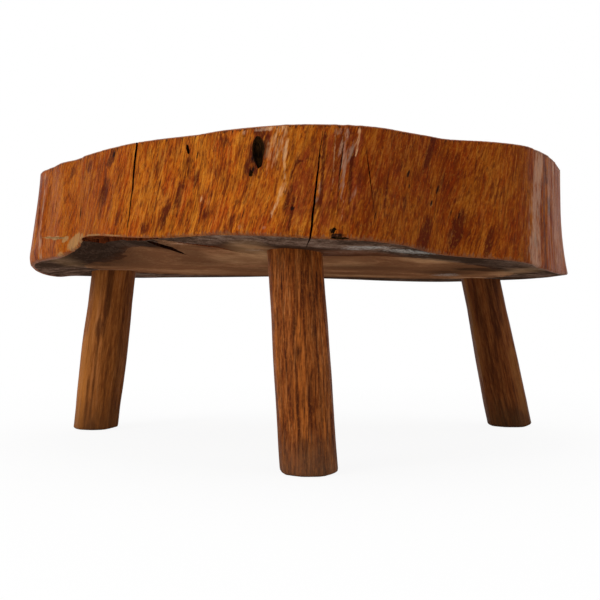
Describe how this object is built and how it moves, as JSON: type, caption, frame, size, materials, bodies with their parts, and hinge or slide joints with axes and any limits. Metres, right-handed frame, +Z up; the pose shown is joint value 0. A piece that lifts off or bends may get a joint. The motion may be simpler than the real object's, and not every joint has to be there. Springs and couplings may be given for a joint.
{
  "type": "tripod side table",
  "caption": "Low tripod table: a thick live-edge slice of a tree trunk on splayed hewn legs, wedge-tenoned into its underside.",
  "frame": {"origin": "on the floor, under the middle of the table's bounding box", "axes": "+Z up, -Y towards the single front leg, +X to the right as seen from the front, along the widest way of the slab"},
  "size_m": [0.711, 0.629, 0.35],
  "materials": {
    "trunk_wood": "oiled and varnished, satin",
    "pole_wood": "oiled and varnished, satin",
    "wedge_wood": "bare split wood"
  },
  "bodies": {
    "root": {"slab": "trunk_wood", "leg_front": "pole_wood", "leg_rear_left": "pole_wood", "leg_rear_right": "pole_wood", "wedge_front": "wedge_wood", "wedge_rear_left": "wedge_wood", "wedge_rear_right": "wedge_wood"}
  },
  "joints": []
}
